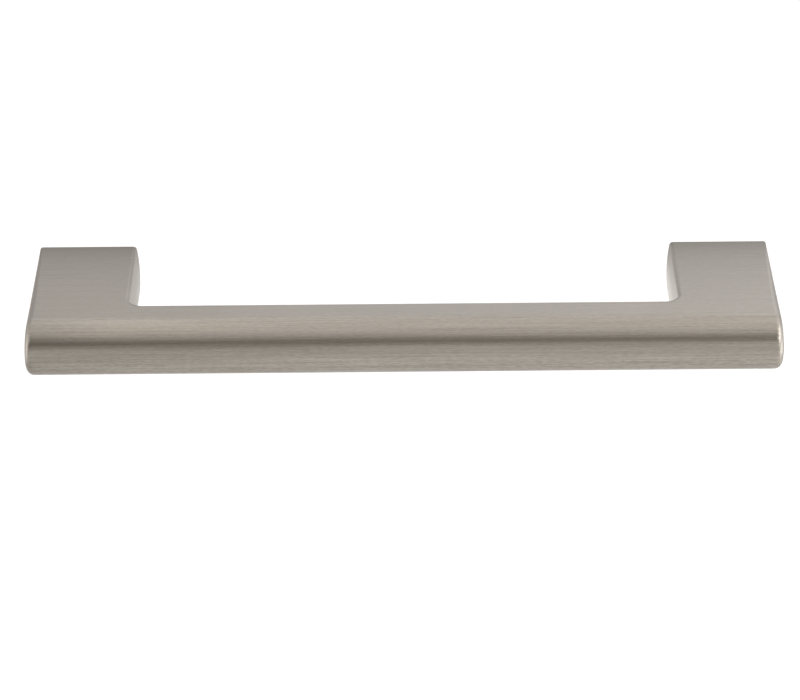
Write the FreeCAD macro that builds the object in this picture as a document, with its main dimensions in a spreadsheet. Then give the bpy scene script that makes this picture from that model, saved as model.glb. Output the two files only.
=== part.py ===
import FreeCAD, Part

import math
import os

import Sketcher

# Bar cabinet pull: one casting, a round-nosed bar with a square foot at each end.
# X runs along the bar, -Y points out of the door towards the hand, +Z is up.
# The origin lies on the door's face, midway between the two screw holes.

# Driving dimensions, in millimetres and degrees
SIZES = {
    "screw_spacing": 128.0,
    "foot_width": 20.0,
    "projection": 35.0,
    "thickness": 11.4,
    "nose_length": 7.6,
    "bar_depth": 12.4,
    "wall_crown": 0.4,
    "corner_radius": 2.75,
    "end_edge_radius": 0.5,
    "nose_edge_radius": 1.4,
    "opening_edge_radius": 0.8,
    "back_edge_radius": 0.4,
    "thread_diameter": 4.0,
    "bore_depth": 14.0,
    "mouth_diameter": 4.8,
    "mouth_angle": 90.0,
    "drill_point_angle": 118.0,
    "cut_overrun": 2.0,
}

NODE = "pull_handle"
TOUCHING = 1e-4

doc = FreeCAD.newDocument("bar_cabinet_pull")


def make_sheet():
    """Writes each driving dimension into a cell of its own, with its name as alias."""
    cells = doc.addObject("Spreadsheet::Sheet", "Sizes")
    for row, (name, value) in enumerate(SIZES.items(), start=1):
        cells.set(f"A{row}", name)
        cells.set(f"B{row}", str(value))
        cells.setAlias(f"B{row}", name)
    doc.recompute()
    return cells


def size(name):
    """One driving dimension as the sheet gives it."""
    return float(sheet.get(name))


def origin_plane(body, role):
    """The body's own origin plane of that role."""
    return next(plane for plane in body.Origin.OriginFeatures if plane.Role == role)


def add_sketch(body, name, role):
    """An empty sketch on one of the body's origin planes."""
    sketch = body.newObject("Sketcher::SketchObject", name)
    sketch.AttachmentSupport = [(origin_plane(body, role), "")]
    sketch.MapMode = "FlatFace"
    return sketch


def drive(sketch, constraint, formula):
    """Adds a named dimension to a sketch and ties it to the sheet."""
    index = sketch.addConstraint(constraint)
    name = f"size_{index}"
    sketch.renameConstraint(index, name)
    sketch.setExpression(f"Constraints.{name}", formula)


def volume_after(feature):
    """Works out the document and gives the feature's volume."""
    doc.recompute()
    return feature.Shape.Volume


def edges_where(shape, test):
    """Numbers, from 1, of the edges whose ends and middle all pass the test."""
    found = []
    for number, edge in enumerate(shape.Edges, start=1):
        middle = 0.5 * (edge.FirstParameter + edge.LastParameter)
        points = [edge.valueAt(at) for at in (edge.FirstParameter, middle, edge.LastParameter)]
        if all(test(point) for point in points):
            found.append(number)
    return found


def edge_names(numbers):
    """The names that a fillet knows those edges by."""
    return [f"Edge{number}" for number in numbers]


def close_to(value, target):
    return abs(value - target) < TOUCHING


def draw_section(body):
    """Side section: flat top and bottom back to the door, and an oval nose.

    The nose is half an ellipse, as high as the bar and nose_length deep, which is more than
    half the bar's height. It runs into both flats.
    """
    sketch = add_sketch(body, "side_section", "YZ_Plane")
    half_height = size("thickness") / 2
    tip = -size("projection")
    centre = tip + size("nose_length")
    far_end = centre + size("nose_length")
    top = sketch.addGeometry(Part.LineSegment(
        FreeCAD.Vector(0, half_height, 0), FreeCAD.Vector(centre, half_height, 0)))
    ellipse = Part.Ellipse(FreeCAD.Vector(far_end, 0, 0),
                           FreeCAD.Vector(centre, half_height, 0), FreeCAD.Vector(centre, 0, 0))
    nose = sketch.addGeometry(Part.ArcOfEllipse(ellipse, math.pi / 2, 3 * math.pi / 2))
    bottom = sketch.addGeometry(Part.LineSegment(
        FreeCAD.Vector(centre, -half_height, 0), FreeCAD.Vector(0, -half_height, 0)))
    back = sketch.addGeometry(Part.LineSegment(
        FreeCAD.Vector(0, -half_height, 0), FreeCAD.Vector(0, half_height, 0)))
    axis = sketch.addGeometry(Part.LineSegment(
        FreeCAD.Vector(far_end, 0, 0), FreeCAD.Vector(tip, 0, 0)), True)
    sketch.addConstraint(Sketcher.Constraint("InternalAlignment:EllipseMajorDiameter", axis, nose))
    sketch.addConstraint(Sketcher.Constraint("Tangent", top, 2, nose, 1))
    sketch.addConstraint(Sketcher.Constraint("Tangent", nose, 2, bottom, 1))
    sketch.addConstraint(Sketcher.Constraint("Coincident", bottom, 2, back, 1))
    sketch.addConstraint(Sketcher.Constraint("Coincident", back, 2, top, 1))
    sketch.addConstraint(Sketcher.Constraint("Horizontal", top))
    sketch.addConstraint(Sketcher.Constraint("Horizontal", bottom))
    sketch.addConstraint(Sketcher.Constraint("PointOnObject", axis, 1, -1))
    sketch.addConstraint(Sketcher.Constraint("PointOnObject", axis, 2, -1))
    sketch.addConstraint(Sketcher.Constraint("PointOnObject", back, 1, -2))
    sketch.addConstraint(Sketcher.Constraint("PointOnObject", back, 2, -2))
    drive(sketch, Sketcher.Constraint("DistanceX", axis, 2, -1, 1, -tip), "Sizes.projection")
    drive(sketch, Sketcher.Constraint("DistanceX", axis, 2, axis, 1, far_end - tip),
          "2 * Sizes.nose_length")
    drive(sketch, Sketcher.Constraint("DistanceY", back, 1, back, 2, size("thickness")),
          "Sizes.thickness")
    return sketch


def draw_opening(body):
    """Finger opening seen from behind: both side walls bulge inwards in a shallow arc.

    Each wall is a foot's width from the end at mid-height, and wall_crown further
    back at the top and bottom of the bar. The arc runs on past both faces.
    """
    sketch = add_sketch(body, "finger_opening", "XZ_Plane")
    half_height = size("thickness") / 2
    crown = size("wall_crown")
    reach = half_height + size("cut_overrun")
    radius = (half_height ** 2 + crown ** 2) / (2 * crown)
    wall = (size("screw_spacing") - size("foot_width")) / 2
    sweep = math.asin(reach / radius)
    edge = wall + radius - radius * math.cos(sweep)
    normal = FreeCAD.Vector(0, 0, 1)
    right_circle = Part.Circle(FreeCAD.Vector(wall + radius, 0, 0), normal, radius)
    left_circle = Part.Circle(FreeCAD.Vector(-wall - radius, 0, 0), normal, radius)
    right = sketch.addGeometry(Part.ArcOfCircle(right_circle, math.pi - sweep, math.pi + sweep))
    left = sketch.addGeometry(Part.ArcOfCircle(left_circle, -sweep, sweep))
    top = sketch.addGeometry(Part.LineSegment(
        FreeCAD.Vector(edge, reach, 0), FreeCAD.Vector(-edge, reach, 0)))
    bottom = sketch.addGeometry(Part.LineSegment(
        FreeCAD.Vector(-edge, -reach, 0), FreeCAD.Vector(edge, -reach, 0)))
    sketch.addConstraint(Sketcher.Constraint("Coincident", right, 1, top, 1))
    sketch.addConstraint(Sketcher.Constraint("Coincident", top, 2, left, 2))
    sketch.addConstraint(Sketcher.Constraint("Coincident", left, 1, bottom, 1))
    sketch.addConstraint(Sketcher.Constraint("Coincident", bottom, 2, right, 2))
    sketch.addConstraint(Sketcher.Constraint("Horizontal", top))
    sketch.addConstraint(Sketcher.Constraint("Horizontal", bottom))
    sketch.addConstraint(Sketcher.Constraint("PointOnObject", right, 3, -1))
    sketch.addConstraint(Sketcher.Constraint("PointOnObject", left, 3, -1))
    crown_radius = ("((Sizes.thickness / 2) ^ 2 + Sizes.wall_crown ^ 2)"
                    " / (2 * Sizes.wall_crown)")
    wall_place = "(Sizes.screw_spacing - Sizes.foot_width) / 2"
    drive(sketch, Sketcher.Constraint("Radius", right, radius), crown_radius)
    drive(sketch, Sketcher.Constraint("Radius", left, radius), crown_radius)
    drive(sketch, Sketcher.Constraint("DistanceX", -1, 1, right, 3, wall + radius),
          f"{wall_place} + {crown_radius}")
    drive(sketch, Sketcher.Constraint("DistanceX", left, 3, -1, 1, wall + radius),
          f"{wall_place} + {crown_radius}")
    drive(sketch, Sketcher.Constraint("DistanceY", -1, 1, right, 1, reach),
          "Sizes.thickness / 2 + Sizes.cut_overrun")
    return sketch


def draw_screw_places(body):
    """The two screw axes on the door's face, one in the middle of each foot."""
    sketch = add_sketch(body, "screw_places", "XZ_Plane")
    half = size("screw_spacing") / 2
    radius = size("thread_diameter") / 2
    normal = FreeCAD.Vector(0, 0, 1)
    for side in (-1, 1):
        place = FreeCAD.Vector(side * half, 0, 0)
        circle = sketch.addGeometry(Part.Circle(place, normal, radius))
        sketch.addConstraint(Sketcher.Constraint("PointOnObject", circle, 3, -1))
        drive(sketch, Sketcher.Constraint("Radius", circle, radius), "Sizes.thread_diameter / 2")
        ends = (-1, 1, circle, 3) if side > 0 else (circle, 3, -1, 1)
        drive(sketch, Sketcher.Constraint("DistanceX", *ends, half), "Sizes.screw_spacing / 2")
    return sketch


def make_blank(body):
    """The solid blank: the side section drawn out to the full length of the pull."""
    pad = body.newObject("PartDesign::Pad", "blank")
    pad.Profile = draw_section(body)
    pad.SideType = "Symmetric"
    pad.setExpression("Length", "Sizes.screw_spacing + Sizes.foot_width")
    return pad


def cut_opening(body, blank):
    """Takes out the finger opening from the door side up to the back of the bar."""
    before = volume_after(blank)
    pocket = body.newObject("PartDesign::Pocket", "opening_cut")
    pocket.Profile = draw_opening(body)
    pocket.Reversed = True
    pocket.setExpression("Length", "Sizes.projection - Sizes.bar_depth")
    if volume_after(pocket) >= before:
        raise RuntimeError("the finger opening cut nothing")
    return pocket


def drill_screw_holes(body, base):
    """Blind threaded holes for the door screws, each with a small countersunk mouth."""
    before = volume_after(base)
    hole = body.newObject("PartDesign::Hole", "screw_holes")
    hole.Profile = draw_screw_places(body)
    doc.recompute()
    hole.Threaded = False
    hole.DepthType = "Dimension"
    hole.DrillPoint = "Angled"
    hole.HoleCutType = "Countersink"
    hole.Reversed = True
    hole.setExpression("Diameter", "Sizes.thread_diameter")
    hole.setExpression("Depth", "Sizes.bore_depth")
    hole.setExpression("DrillPointAngle", "Sizes.drill_point_angle")
    hole.setExpression("HoleCutDiameter", "Sizes.mouth_diameter")
    hole.setExpression("HoleCutCountersinkAngle", "Sizes.mouth_angle")
    if volume_after(hole) >= before:
        raise RuntimeError("the screw holes cut nothing")
    return hole


def round_edges(body, name, base, numbers, radius_name):
    """A fillet inside the body on the edges with those numbers."""
    fillet = body.newObject("PartDesign::Fillet", name)
    fillet.Base = (base, edge_names(numbers))
    fillet.setExpression("Radius", f"Sizes.{radius_name}")
    doc.recompute()
    return fillet


def round_inside_corners(body, base):
    """The upright corners between each foot and the back of the bar."""
    back_of_bar = size("bar_depth") - size("projection")
    end_of_opening = (size("screw_spacing") - size("foot_width")) / 2 - TOUCHING

    def at_corner(point):
        return close_to(point.y, back_of_bar) and abs(point.x) > end_of_opening

    return round_edges(body, "inside_corners", base, edges_where(base.Shape, at_corner),
                       "corner_radius")


def round_ends(casting):
    """The outline of both end faces, apart from the edge that meets the door.

    The radius grows from end_edge_radius at the door to nose_edge_radius around the nose.
    """
    end = (size("screw_spacing") + size("foot_width")) / 2

    def at_end(point):
        return close_to(abs(point.x), end)

    def at_door(point):
        return close_to(point.y, 0)

    def radius_at(point):
        return size("end_edge_radius" if at_door(point) else "nose_edge_radius")

    door_edges = edges_where(casting.Shape, at_door)
    radii = []
    for number in edges_where(casting.Shape, at_end):
        if number not in door_edges:
            edge = casting.Shape.Edges[number - 1]
            start = edge.valueAt(edge.FirstParameter)
            finish = edge.valueAt(edge.LastParameter)
            radii.append((number, radius_at(start), radius_at(finish)))
    rounded = doc.addObject("Part::Fillet", "rounded_ends")
    rounded.Base = casting
    rounded.Edges = radii
    doc.recompute()
    return rounded


def soften_opening(body, base):
    """The rim of the finger opening, top and bottom, along the feet and the bar."""
    half_height = size("thickness") / 2
    wall = (size("screw_spacing") - size("foot_width")) / 2 + size("wall_crown")
    back_of_bar = size("bar_depth") - size("projection")

    def on_rim(point):
        inside = abs(point.x) < wall + TOUCHING and point.y > back_of_bar - TOUCHING
        return inside and close_to(abs(point.z), half_height)

    return round_edges(body, "opening_rims", base, edges_where(base.Shape, on_rim),
                       "opening_edge_radius")


def soften_back(body, base):
    """The outline of the two faces that sit on the door."""
    mouth = size("mouth_diameter") / 2

    def on_outline(point):
        from_screw = math.hypot(abs(point.x) - size("screw_spacing") / 2, point.z)
        return close_to(point.y, 0) and from_screw > mouth + TOUCHING

    return round_edges(body, "back_edges", base, edges_where(base.Shape, on_outline),
                       "back_edge_radius")


def make_casting():
    """The bare casting: blank, finger opening and screw holes, with sharp outer edges."""
    body = doc.addObject("PartDesign::Body", "casting")
    blank = make_blank(body)
    opening = cut_opening(body, blank)
    corners = round_inside_corners(body, opening)
    body.Tip = drill_screw_holes(body, corners)
    doc.recompute()
    return body


def make_handle(casting):
    """The finished pull: the casting with its ends, opening and back edges rounded."""
    body = doc.addObject("PartDesign::Body", NODE)
    body.Label = NODE
    body.BaseFeature = round_ends(casting)
    doc.recompute()
    rims = soften_opening(body, body.Group[0])
    body.Tip = soften_back(body, rims)
    body.Placement = FreeCAD.Placement()
    doc.recompute()
    return body


def check_document():
    """Stops if any object of the document failed."""
    for item in doc.Objects:
        if "Invalid" in item.State or "Error" in item.State:
            raise RuntimeError(f"{item.Name} failed: {item.State}")


def write_part(item):
    """Writes one finished piece under its label."""
    shape = item.Shape
    if shape.isNull() or not shape.isValid():
        raise RuntimeError(f"{item.Label} has no valid shape")
    os.makedirs("parts", exist_ok=True)
    shape.exportStep(f"parts/{item.Label}.step")
    print(item.Label, "solids", len(shape.Solids), "volume", round(shape.Volume, 1))


sheet = make_sheet()
handle = make_handle(make_casting())
check_document()
write_part(handle)
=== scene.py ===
import math

import bpy
import numpy as np
from mathutils import Matrix, Vector


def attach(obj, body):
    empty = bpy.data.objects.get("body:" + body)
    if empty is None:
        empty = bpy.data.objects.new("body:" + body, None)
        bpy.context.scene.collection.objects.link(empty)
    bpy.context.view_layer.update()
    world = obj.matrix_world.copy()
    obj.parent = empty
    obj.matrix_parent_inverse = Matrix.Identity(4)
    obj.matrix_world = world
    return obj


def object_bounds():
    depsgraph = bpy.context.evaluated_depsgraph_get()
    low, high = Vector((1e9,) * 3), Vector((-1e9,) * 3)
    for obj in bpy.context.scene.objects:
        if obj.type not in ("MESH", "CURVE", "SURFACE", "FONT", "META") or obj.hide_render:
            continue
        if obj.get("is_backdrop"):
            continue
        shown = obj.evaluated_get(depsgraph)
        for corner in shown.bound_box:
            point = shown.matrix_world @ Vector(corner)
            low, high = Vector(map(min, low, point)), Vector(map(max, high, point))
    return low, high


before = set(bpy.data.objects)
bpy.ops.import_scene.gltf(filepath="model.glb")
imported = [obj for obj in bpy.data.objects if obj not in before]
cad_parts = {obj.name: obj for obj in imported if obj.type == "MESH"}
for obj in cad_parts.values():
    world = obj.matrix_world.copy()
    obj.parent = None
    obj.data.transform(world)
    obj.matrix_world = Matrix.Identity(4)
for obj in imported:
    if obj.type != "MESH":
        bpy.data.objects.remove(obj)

# Bar cabinet pull in brushed satin nickel, seen from in front and above.
# X runs along the bar, -Y points out of the door at the viewer and +Z is up, in metres.

low, high = (np.array(corner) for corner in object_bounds())

# The photograph's view: angles in degrees, distances in metres
VIEW_ELEVATION = 33.0
VIEW_ROLL = -0.496
VIEW_DISTANCE = 0.5375
AIM_X = -0.00081
AIM_Z = 0.00252
FOCAL_PIXELS = 2768.6
IMAGE_WIDTH_PIXELS = 800
SENSOR_MM = 36.0
CLIP_START = 0.05
CLIP_END = 20.0

# Screw threads in the feet, in metres: M4 with a pitch of 0.7 mm
SCREW_PLACES = (-0.064, 0.064)
THREAD_PITCH = 0.0007
THREAD_ROOT = 0.00204
THREAD_CREST = 0.00162
THREAD_FIRST = -0.0010
THREAD_LAST = -0.0130
POINTS_PER_TURN = 40
# Half the ridge's width at the root and at the crest, as shares of the pitch
ROOT_SHARE = 0.46
CREST_SHARE = 0.13

# Tints of the light
WARM = (1.0, 0.978, 0.960)
AMBER = (1.0, 0.968, 0.942)
BROWN = (1.0, 0.80, 0.55)
COOL = (0.97, 0.99, 1.045)
WHITE = (1.0, 1.0, 1.0)

# The studio's light by direction: the angle in degrees around the bar's length, 0 in front,
# 90 overhead and 180 behind; the tint; then the level towards the left, ahead and to the right
STUDIO_LIGHT = (
    (-180, WARM, 0.86, 0.86, 0.86),
    (-4, WARM, 0.88, 0.88, 0.90),
    (22, WARM, 0.84, 0.90, 0.98),
    (45, AMBER, 0.60, 0.93, 1.12),
    (54, BROWN, 0.10, 0.16, 0.13),
    (63, BROWN, 0.04, 0.08, 0.06),
    (72, AMBER, 0.60, 0.63, 0.80),
    (88, AMBER, 1.05, 0.94, 1.20),
    (102, AMBER, 1.32, 1.12, 1.27),
    (138, WARM, 1.68, 1.16, 1.32),
    (146, COOL, 0.89, 1.21, 1.56),
    (180, COOL, 0.87, 1.08, 1.28),
)

# How far a direction leans sideways where the side's own light starts and where it is full
SIDE_START = 0.066
SIDE_FULL = 0.11

# The floor: its depth below the pull, its reach to each side, its grey and its lift to white
FLOOR_DROP = 0.06
FLOOR_REACH = 3.0
FLOOR_GREY = 0.78
FLOOR_LIFT = 0.36

# Upright glowing cards: name, X, range of Y, range of Z, axis of the levels, tint and levels.
# Each level gives a share of the way along that axis and the strength there.
SOFTBOXES = (
    ("right_softbox", 0.22, (-0.16, -0.01), (-0.06, 0.20), "Z", WHITE,
     ((0.0, 2.9), (0.25, 2.9), (0.36, 1.6), (0.54, 1.6), (0.62, 3.9), (1.0, 3.6))),
    ("right_high_softbox", 0.22, (-0.01, 0.045), (0.095, 0.20), "Z", WHITE,
     ((0.0, 3.4), (1.0, 3.0))),
    ("right_far_softbox", 0.22, (-0.01, 0.20), (-0.06, 0.095), "Y", WHITE,
     ((0.0, 1.8), (0.3, 1.6), (0.45, 1.1), (1.0, 0.85))),
    ("left_softbox", -0.22, (-0.09, 0.20), (-0.06, 0.20), "Y", WARM,
     ((0.0, 1.85), (0.36, 1.75), (0.56, 1.2), (1.0, 0.9))),
)

# Glowing cards just above the floor: name, range of X, range of Y, axis of the levels, levels
CARD_LIFT = 0.002
FLOOR_CARDS = (
    ("right_floor_light", (0.12, 0.22), (-0.16, 0.02), "Y", ((0.0, 1.5), (1.0, 1.5))),
    ("right_bright_strip", (0.0, 0.053), (0.03, 0.14), "Y",
     ((0.0, 1.6), (0.64, 1.6), (0.75, 1.0), (1.0, 1.0))),
    ("right_flag", (0.082, 0.20), (0.03, 0.15), "Y", ((0.0, 0.5), (1.0, 0.5))),
    ("left_shade", (-0.40, -0.03), (-1.5, -0.01), "X",
     ((0.0, 0.74), (0.83, 0.76), (0.87, 0.90), (0.905, 1.0))),
)

# Upright nets just behind the feet: name, range of X, range of Z, then how much light passes
# at each height
NET_PLACE = 0.004
FOOT_SHADE = ((-0.003, 1.0), (0.0050, 0.40), (0.0080, 0.52), (0.0105, 0.74), (0.0150, 0.88),
              (0.0200, 0.94), (0.0260, 1.0))
BACK_NETS = (
    ("left_net", (-0.052, -0.078), (-0.03, 0.026), FOOT_SHADE),
    ("right_net", (0.052, 0.078), (-0.03, 0.026), FOOT_SHADE),
    ("far_left_net", (-0.078, -0.3), (-0.03, 0.026), ((-0.03, 0.76), (0.026, 0.84))),
    ("inner_net", (-0.052, -0.037), (0.0058, 0.020),
     ((0.0058, 0.62), (0.015, 0.68), (0.020, 1.0))),
)

# The level net over the left end: its height, range of X, range of Y, and how much light
# passes at each place along X
END_NET_HEIGHT = 0.02
END_NET_ACROSS = (-0.11, -0.052)
END_NET_ALONG = (-0.0445, -0.012)
END_SHADE = ((-0.110, 0.71), (-0.080, 0.72), (-0.071, 0.84), (-0.060, 1.0))

# How squarely a surface faces sideways where its brush lines turn upright: start and full
END_FACING = (0.6, 0.8)

# Brush lines: noise cells per metre along and across them, then the noise's detail and roughness
FINE_LINES = (750.0, 5200.0)
LONG_LINES = (35.0, 4200.0)
LINE_DETAIL = 1.0
LINE_ROUGHNESS = 0.6
LONG_SHARE = 0.5

# Their contrast around the noise's middle: by depth, from the flat top to the nose, and by
# height, from the nose's upper half to its lower. Each gives the two ends of the change in
# metres, then the contrast at each.
LINES_MIDDLE = 0.5
NOSE_CONTRAST = (-0.0262, -0.0285, 0.65, 1.5)
LOWER_CONTRAST = (0.0015, -0.0015, 1.0, 2.2)

# The nickel at the darkest and the lightest brush lines
LINES_LOW = 0.2
LINES_HIGH = 0.8
DARK_NICKEL = (0.290, 0.265, 0.232)
LIGHT_NICKEL = (0.395, 0.366, 0.325)
DARK_ROUGHNESS = 0.335
LIGHT_ROUGHNESS = 0.275
EDGE_TINT = (0.82, 0.82, 0.82, 1)
BRUSHING = 0.35
RELIEF_STRENGTH = 0.15
RELIEF_DEPTH = 0.0001


def link_object(name, mesh):
    """A new object for the mesh, in the scene's collection."""
    piece = bpy.data.objects.new(name, mesh)
    bpy.context.collection.objects.link(piece)
    return piece


def grid_mesh(name, points, closed_across):
    """A mesh over a grid of points, rows by columns, with faces between neighbouring rows.

    With closed_across the last column joins the first.
    """
    rows, columns = points.shape[:2]
    number = np.arange(rows * columns).reshape(rows, columns)
    if closed_across:
        number = np.concatenate([number, number[:, :1]], axis=1)
    faces = np.stack([number[:-1, :-1], number[:-1, 1:], number[1:, 1:], number[1:, :-1]], axis=-1)
    mesh = bpy.data.meshes.new(name)
    mesh.from_pydata(points.reshape(-1, 3), [], faces.reshape(-1, 4))
    mesh.update()
    return mesh


def make_camera():
    """A long lens in front of the bar, aimed at the middle of the nose's front line."""
    elevation = math.radians(VIEW_ELEVATION)
    roll = math.radians(VIEW_ROLL)
    back = Vector((0.0, -math.cos(elevation), math.sin(elevation)))
    level = Vector((1.0, 0.0, 0.0))
    upright = back.cross(level)
    right = math.cos(roll) * level + math.sin(roll) * upright
    up = -math.sin(roll) * level + math.cos(roll) * upright
    aim = Vector((AIM_X, low[1], AIM_Z))
    data = bpy.data.cameras.new("camera")
    data.sensor_width = SENSOR_MM
    data.lens = FOCAL_PIXELS * SENSOR_MM / IMAGE_WIDTH_PIXELS
    data.clip_start = CLIP_START
    data.clip_end = CLIP_END
    camera = bpy.data.objects.new("camera", data)
    camera.matrix_world = Matrix.Translation(aim + VIEW_DISTANCE * back) @ Matrix(
        (right, up, back)).transposed().to_4x4()
    bpy.context.collection.objects.link(camera)
    bpy.context.scene.camera = camera


def bare_material(name):
    """A new material without nodes, with the lists of its nodes and links."""
    material = bpy.data.materials.new(name)
    material.use_nodes = True
    nodes, links = material.node_tree.nodes, material.node_tree.links
    nodes.clear()
    return material, nodes, links


def calculate(nodes, links, operation, *values):
    """The result of a calculation on sockets and plain numbers."""
    node = nodes.new("ShaderNodeMath")
    node.operation = operation
    for socket, value in zip(node.inputs, values):
        if isinstance(value, float):
            socket.default_value = value
        else:
            links.new(value, socket)
    return node.outputs[0]


def change(nodes, links, value, first, last, at_first=0.0, at_last=1.0, smooth=False):
    """The value mapped so that first gives at_first and last gives at_last, and held beyond."""
    node = nodes.new("ShaderNodeMapRange")
    if smooth:
        node.interpolation_type = "SMOOTHSTEP"
    node.inputs["From Min"].default_value = first
    node.inputs["From Max"].default_value = last
    node.inputs["To Min"].default_value = at_first
    node.inputs["To Max"].default_value = at_last
    links.new(value, node.inputs["Value"])
    return node.outputs[0]


def ramp_of(nodes, links, value, stops):
    """The colour at a value from 0 to 1, between stops that each give a place and a colour."""
    ramp = nodes.new("ShaderNodeValToRGB")
    elements = ramp.color_ramp.elements
    while len(elements) < len(stops):
        elements.new(0.5)
    for element, (place, colour) in zip(elements, stops):
        element.position = place
        element.color = (*colour, 1)
    links.new(value, ramp.inputs[0])
    return ramp.outputs[0]


def place_along(nodes, links, axis, first, last):
    """How far along one axis of the object a point lies, from 0 at first to 1 at last."""
    place = nodes.new("ShaderNodeTexCoord")
    split = nodes.new("ShaderNodeSeparateXYZ")
    links.new(place.outputs["Object"], split.inputs[0])
    return change(nodes, links, split.outputs[axis], first, last)


def make_world():
    """Pale studio all round, with a dark slot in front where the camera stands.

    The angle around the bar's length is the arc tangent of height over nearness. One ramp each
    gives the light at that angle towards the left, ahead and to the right, and a direction's
    lean sideways blends them. The camera itself sees a white backdrop.
    """
    world = bpy.data.worlds.new("studio")
    bpy.context.scene.world = world
    world.use_nodes = True
    nodes, links = world.node_tree.nodes, world.node_tree.links
    nodes.clear()
    place = nodes.new("ShaderNodeTexCoord")
    split = nodes.new("ShaderNodeSeparateXYZ")
    links.new(place.outputs["Generated"], split.inputs[0])
    nearness = calculate(nodes, links, "MULTIPLY", split.outputs["Y"], -1.0)
    angle = calculate(nodes, links, "ARCTAN2", split.outputs["Z"], nearness)
    turn = change(nodes, links, angle, -math.pi, math.pi)
    left, shown, right = (
        ramp_of(nodes, links, turn, [((row[0] + 180) / 360, [row[column] * part for part in row[1]])
                                     for row in STUDIO_LIGHT])
        for column in (2, 3, 4))
    for colour, side in ((left, -1), (right, 1)):
        share = change(nodes, links, split.outputs["X"], side * SIDE_START, side * SIDE_FULL)
        blend = nodes.new("ShaderNodeMix")
        blend.data_type = "RGBA"
        links.new(share, blend.inputs["Factor"])
        links.new(shown, blend.inputs[6])
        links.new(colour, blend.inputs[7])
        shown = blend.outputs[2]
    room = nodes.new("ShaderNodeBackground")
    links.new(shown, room.inputs["Color"])
    backdrop = nodes.new("ShaderNodeBackground")
    backdrop.inputs["Color"].default_value = (*WHITE, 1)
    path = nodes.new("ShaderNodeLightPath")
    either = nodes.new("ShaderNodeMixShader")
    links.new(path.outputs["Is Camera Ray"], either.inputs[0])
    links.new(room.outputs[0], either.inputs[1])
    links.new(backdrop.outputs[0], either.inputs[2])
    out = nodes.new("ShaderNodeOutputWorld")
    links.new(either.outputs[0], out.inputs[0])


def make_floor():
    """A wide pale floor below the pull, white to the eye and in reflections but for the shadow."""
    reach = np.array([-FLOOR_REACH, FLOOR_REACH])
    across, along = np.meshgrid(reach, reach)
    points = np.stack([across, along, np.full_like(across, low[2] - FLOOR_DROP)], axis=-1)
    floor = link_object("floor", grid_mesh("floor", points, False))
    material, nodes, links = bare_material("pale_floor")
    matte = nodes.new("ShaderNodeBsdfDiffuse")
    matte.inputs["Color"].default_value = (FLOOR_GREY, FLOOR_GREY, FLOOR_GREY, 1)
    path = nodes.new("ShaderNodeLightPath")
    seen = calculate(nodes, links, "MAXIMUM",
                     path.outputs["Is Camera Ray"], path.outputs["Is Glossy Ray"])
    seen = calculate(nodes, links, "MAXIMUM", seen, path.outputs["Is Transmission Ray"])
    lift = nodes.new("ShaderNodeEmission")
    links.new(calculate(nodes, links, "MULTIPLY", seen, FLOOR_LIFT), lift.inputs["Strength"])
    both = nodes.new("ShaderNodeAddShader")
    links.new(matte.outputs[0], both.inputs[0])
    links.new(lift.outputs[0], both.inputs[1])
    out = nodes.new("ShaderNodeOutputMaterial")
    links.new(both.outputs[0], out.inputs["Surface"])
    floor.data.materials.append(material)
    floor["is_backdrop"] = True


def stage_card(name, points, material):
    """A card of the studio that only the metal sees."""
    card = link_object(name, grid_mesh(name, np.array(points), False))
    card.data.materials.append(material)
    card.visible_camera = False
    card.visible_shadow = False
    card.visible_diffuse = False
    card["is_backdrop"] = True


def glowing(name, axis, reach, tint, levels):
    """Light whose strength follows the levels along one axis, over the reach."""
    material, nodes, links = bare_material(name)
    stops = [(share, [level * part for part in tint]) for share, level in levels]
    glow = nodes.new("ShaderNodeEmission")
    links.new(ramp_of(nodes, links, place_along(nodes, links, axis, *reach), stops),
              glow.inputs["Color"])
    material.cycles.emission_sampling = "NONE"
    out = nodes.new("ShaderNodeOutputMaterial")
    links.new(glow.outputs[0], out.inputs["Surface"])
    return material


def make_cards():
    """The glowing cards: upright ones beside the pull, then those that lie above the floor."""
    for name, x, along, upward, axis, tint, levels in SOFTBOXES:
        points = [[(x, y, z) for y in along] for z in upward]
        reach = along if axis == "Y" else upward
        stage_card(name, points, glowing(name, axis, reach, tint, levels))
    height = low[2] - FLOOR_DROP + CARD_LIFT
    for name, across, along, axis, levels in FLOOR_CARDS:
        points = [[(x, y, height) for x in across] for y in along]
        reach = across if axis == "X" else along
        stage_card(name, points, glowing(name, axis, reach, WARM, levels))


def make_net(name, points, axis, levels):
    """A net that dims the metal's reflections; a level gives a place and how much light passes."""
    first, last = levels[0][0], levels[-1][0]
    material, nodes, links = bare_material(name)
    stops = [((place - first) / (last - first), [level] * 3) for place, level in levels]
    clear = nodes.new("ShaderNodeBsdfTransparent")
    links.new(ramp_of(nodes, links, place_along(nodes, links, axis, first, last), stops),
              clear.inputs["Color"])
    out = nodes.new("ShaderNodeOutputMaterial")
    links.new(clear.outputs[0], out.inputs["Surface"])
    stage_card(name, points, material)


def make_nets():
    """Nets just behind the feet, graded by height, and one over the left end, graded along it."""
    for name, across, upward, levels in BACK_NETS:
        make_net(name, [[(x, NET_PLACE, z) for x in across] for z in upward], "Z", levels)
    points = [[(x, y, END_NET_HEIGHT) for x in END_NET_ACROSS] for y in END_NET_ALONG]
    make_net("end_net", points, "X", END_SHADE)


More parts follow.
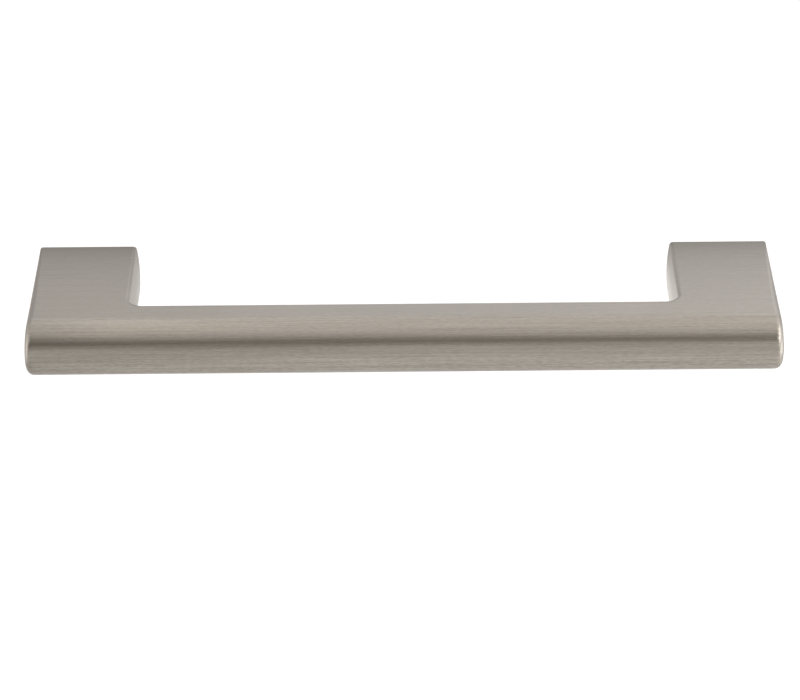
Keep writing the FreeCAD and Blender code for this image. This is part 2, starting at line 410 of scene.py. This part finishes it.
def brushed_nickel():
    """Satin nickel with brush lines along the bar and upright ones on its ends."""
    material = bpy.data.materials.new("brushed_nickel_look")
    material.use_nodes = True
    nodes, links = material.node_tree.nodes, material.node_tree.links
    shader = nodes["Principled BSDF"]
    shader.inputs["Metallic"].default_value = 1.0
    shader.inputs["Anisotropic"].default_value = BRUSHING
    shader.inputs["Specular Tint"].default_value = EDGE_TINT
    grain = nodes.new("ShaderNodeTangent")
    grain.direction_type = "RADIAL"
    grain.axis = "X"
    links.new(grain.outputs[0], shader.inputs["Tangent"])

    place = nodes.new("ShaderNodeTexCoord")
    facing = nodes.new("ShaderNodeSeparateXYZ")
    links.new(place.outputs["Normal"], facing.inputs[0])
    where = nodes.new("ShaderNodeSeparateXYZ")
    links.new(place.outputs["Object"], where.inputs[0])
    sideways = calculate(nodes, links, "ABSOLUTE", facing.outputs["X"])
    on_end = change(nodes, links, sideways, *END_FACING, smooth=True)

    def lines(along, across):
        """Streaks that run along X, or along Z on the ends."""
        both = []
        for scale in ((along, across, across), (across, across, along)):
            stretch = nodes.new("ShaderNodeMapping")
            stretch.inputs["Scale"].default_value = scale
            links.new(place.outputs["Object"], stretch.inputs["Vector"])
            noise = nodes.new("ShaderNodeTexNoise")
            noise.inputs["Scale"].default_value = 1.0
            noise.inputs["Detail"].default_value = LINE_DETAIL
            noise.inputs["Roughness"].default_value = LINE_ROUGHNESS
            links.new(stretch.outputs[0], noise.inputs["Vector"])
            both.append(noise.outputs[0])
        blend = nodes.new("ShaderNodeMix")
        links.new(on_end, blend.inputs["Factor"])
        links.new(both[0], blend.inputs["A"])
        links.new(both[1], blend.inputs["B"])
        return blend.outputs["Result"]

    mixed = nodes.new("ShaderNodeMix")
    mixed.inputs["Factor"].default_value = LONG_SHARE
    links.new(lines(*FINE_LINES), mixed.inputs["A"])
    links.new(lines(*LONG_LINES), mixed.inputs["B"])
    contrast = calculate(nodes, links, "MULTIPLY",
                         change(nodes, links, where.outputs["Y"], *NOSE_CONTRAST, smooth=True),
                         change(nodes, links, where.outputs["Z"], *LOWER_CONTRAST))
    around = calculate(nodes, links, "SUBTRACT", mixed.outputs["Result"], LINES_MIDDLE)
    worn = calculate(nodes, links, "MULTIPLY_ADD", around, contrast, LINES_MIDDLE)

    tone = ramp_of(nodes, links, worn, ((LINES_LOW, DARK_NICKEL), (LINES_HIGH, LIGHT_NICKEL)))
    links.new(tone, shader.inputs["Base Color"])
    satin = change(nodes, links, worn, LINES_LOW, LINES_HIGH, DARK_ROUGHNESS, LIGHT_ROUGHNESS)
    links.new(satin, shader.inputs["Roughness"])
    relief = nodes.new("ShaderNodeBump")
    relief.inputs["Strength"].default_value = RELIEF_STRENGTH
    relief.inputs["Distance"].default_value = RELIEF_DEPTH
    links.new(worn, relief.inputs["Height"])
    links.new(relief.outputs[0], shader.inputs["Normal"])
    return material


def make_thread(name, x, material):
    """The ridge of a screw thread inside a foot's bore.

    The ridge follows a helix around the bore's axis, one turn for each pitch of depth. Its
    cross-section is a blunt wedge: wide on the bore's wall, narrow at the crest. The crest
    sinks back into the wall over the first and last turn.
    """
    turns = (THREAD_FIRST - THREAD_LAST) / THREAD_PITCH
    along = np.linspace(0.0, turns, int(turns * POINTS_PER_TURN) + 1)
    depth = THREAD_FIRST - along * THREAD_PITCH
    angle = 2 * np.pi * along
    fade = np.clip(np.minimum(along, turns - along), 0.0, 1.0)
    crest = THREAD_ROOT - (THREAD_ROOT - THREAD_CREST) * fade
    root = np.full_like(crest, THREAD_ROOT)
    radius = np.stack([root, crest, crest, root], axis=1)
    offset = THREAD_PITCH * np.array([ROOT_SHARE, CREST_SHARE, -CREST_SHARE, -ROOT_SHARE])
    points = np.stack([x + radius * np.cos(angle)[:, None],
                       depth[:, None] + offset[None, :],
                       radius * np.sin(angle)[:, None]], axis=-1)
    thread = link_object(name, grid_mesh(name, points, True))
    thread.data.materials.append(material)
    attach(thread, "root")


make_camera()
make_world()
make_floor()
make_cards()
make_nets()
nickel = brushed_nickel()
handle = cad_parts["pull_handle"]
handle.material_slots[0].material = nickel
for side, place in zip(("left", "right"), SCREW_PLACES):
    make_thread(f"{side}_thread_ridge", place, nickel)
bpy.context.scene.view_settings.view_transform = "Standard"
